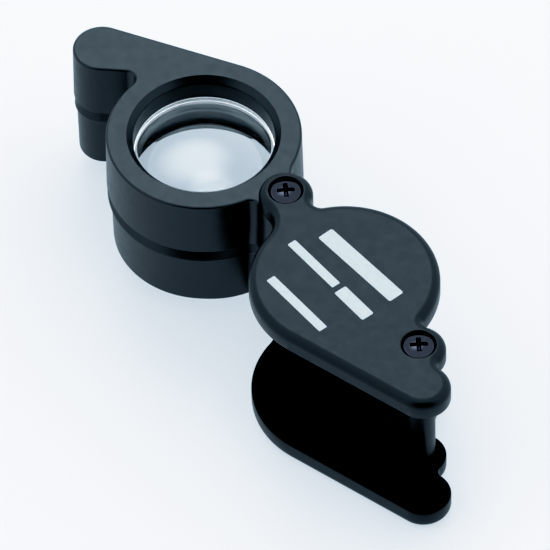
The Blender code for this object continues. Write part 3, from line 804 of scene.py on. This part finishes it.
def bar(name, x, y, length, width, turn):
    """A plain printed bar with softly rounded corners, on the top plate."""
    r = min(width, length) * BAR_CORNER
    pts = []
    for cx, cy, a0 in ((1, 1, 0), (-1, 1, 90), (-1, -1, 180), (1, -1, 270)):
        for k in range(5):
            c, s = unit(math.radians(a0 + 90 * k / 4))
            pts.append((cx * (length / 2 - r) + r * c, cy * (width / 2 - r) + r * s))
    c, s = unit(math.radians(turn))
    bm = bmesh.new()
    prism(bm, [[bm.verts.new(((x + px * c - py * s) * MM, (y + px * s + py * c) * MM, z * MM))
                for px, py in pts] for z in (TOTAL_H - BAR_BELOW, TOTAL_H + BAR_ABOVE)])
    place(mesh_object(name, bm, [PRINT], CASE_M), "case", "shell_black")


# four plain bars: centre x and y, length, width, degrees; no words, no mark
bar("print_bar_long", 13.6, 2.3, 12.2, 2.0, 13.0)
bar("print_bar_middle", 18.1, -0.9, 5.0, 1.6, 11.0)
bar("print_bar_rule", 11.0, -2.2, 8.0, 1.1, 11.0)
bar("print_bar_small", 15.2, -6.5, 9.4, 1.1, 11.0)

# ------------------------------------------- floor, a softly lit white panel
FLOOR_HALF, FLOOR_Z, FLOOR_GLOW = 1.2, -0.00002, 0.648
floor_me = bpy.data.meshes.new("floor")
floor_me.from_pydata([(x * FLOOR_HALF, y * FLOOR_HALF, FLOOR_Z)
                      for x, y in ((-1, -1), (1, -1), (1, 1), (-1, 1))], [], [(0, 1, 2, 3)])
floor = bpy.data.objects.new("floor", floor_me)
scene.collection.objects.link(floor)
paper = Mat("pale_paper")
paper.put(Roughness=0.9, Base_Color=(0.225, 0.227, 0.230, 1.0), Specular_IOR_Level=0.2,
          Emission_Color=(1.0, 1.0, 1.0, 1.0), Emission_Strength=FLOOR_GLOW)
floor_me.materials.append(paper.m)

# -------------------------------------------------------------------- camera
CAM_TARGET = Vector((1.671, 7.835, 0.0)) * MM
CAM_ELEVATION, CAM_ROLL = math.radians(50.164), math.radians(-1.324)
CAM_DISTANCE, SENSOR_W = 1.134, 36.0
CAM_FIELD = 0.055                       # width of the view per metre away

cos_e, sin_e = unit(CAM_ELEVATION)
cos_r, sin_r = unit(CAM_ROLL)
forward = Vector((0.0, cos_e, -sin_e))
level_right, level_up = Vector((1, 0, 0)), Vector((0.0, sin_e, cos_e))
right = level_right * cos_r + level_up * sin_r
up = level_up * cos_r - level_right * sin_r
cam_data = bpy.data.cameras.new("camera")
cam_data.sensor_width = SENSOR_W
cam_data.lens = SENSOR_W / CAM_FIELD
cam_data.clip_start, cam_data.clip_end = 0.01, 20.0
cam = bpy.data.objects.new("camera", cam_data)
scene.collection.objects.link(cam)
m = Matrix((right, up, -forward)).transposed().to_4x4()
m.translation = CAM_TARGET - forward * CAM_DISTANCE
cam.matrix_world = m
scene.camera = cam

# --------------------------------------------------------------------- light
# directions are (degrees from +Y toward +X, degrees up), spreads are degrees
ZENITH, TENT_LOW, TENT_HIGH = (0, 90), 1.15, 1.40
LAMP_WAY, LAMP_EDGE, LAMP_CORE, LAMP_POWER = (-8, 56), 18, 1, 3.5
ROOM_WAY, ROOM_EDGE, ROOM_CORE, ROOM_DARK = (180, 18), 50, 24, 0.08

world = bpy.data.worlds.new("studio")
scene.world = world
world.use_nodes = True
wt = world.node_tree
bg = wt.nodes["Background"]
way = wt.nodes.new("ShaderNodeTexCoord").outputs["Generated"]


def wmath(operation, a, b):
    n = wt.nodes.new("ShaderNodeMath")
    n.operation = operation
    wt.links.new(a, n.inputs[0])
    wt.links.new(b, n.inputs[1])
    return n.outputs[0]


def toward(azimuth, height):
    """How close the way looked is to this direction, as a cosine."""
    a, h = math.radians(azimuth), math.radians(height)
    n = wt.nodes.new("ShaderNodeVectorMath")
    n.operation = 'DOT_PRODUCT'
    wt.links.new(way, n.inputs[0])
    n.inputs[1].default_value = (math.sin(a) * math.cos(h), math.cos(a) * math.cos(h), math.sin(h))
    return n.outputs["Value"]


def soft(value, lo, hi, to_lo, to_hi):
    n = wt.nodes.new("ShaderNodeMapRange")
    n.interpolation_type = 'SMOOTHSTEP'
    for i, v in enumerate((lo, hi, to_lo, to_hi)):
        n.inputs[i + 1].default_value = v
    wt.links.new(value, n.inputs[0])
    return n.outputs[0]


def cosd(a):
    return math.cos(math.radians(a))


# white tent, a soft lamp high behind the object, the dark room in front
tent = soft(toward(*ZENITH), -0.1, 1.0, TENT_LOW, TENT_HIGH)
lamp = soft(toward(*LAMP_WAY), cosd(LAMP_EDGE), cosd(LAMP_CORE), 0.0, LAMP_POWER)
room = soft(toward(*ROOM_WAY), cosd(ROOM_EDGE), cosd(ROOM_CORE), 1.0, ROOM_DARK)
light = wmath('ADD', wmath('MULTIPLY', tent, room), lamp)
bg.inputs["Color"].default_value = (0.985, 0.995, 1.0, 1.0)
wt.links.new(light, bg.inputs["Strength"])
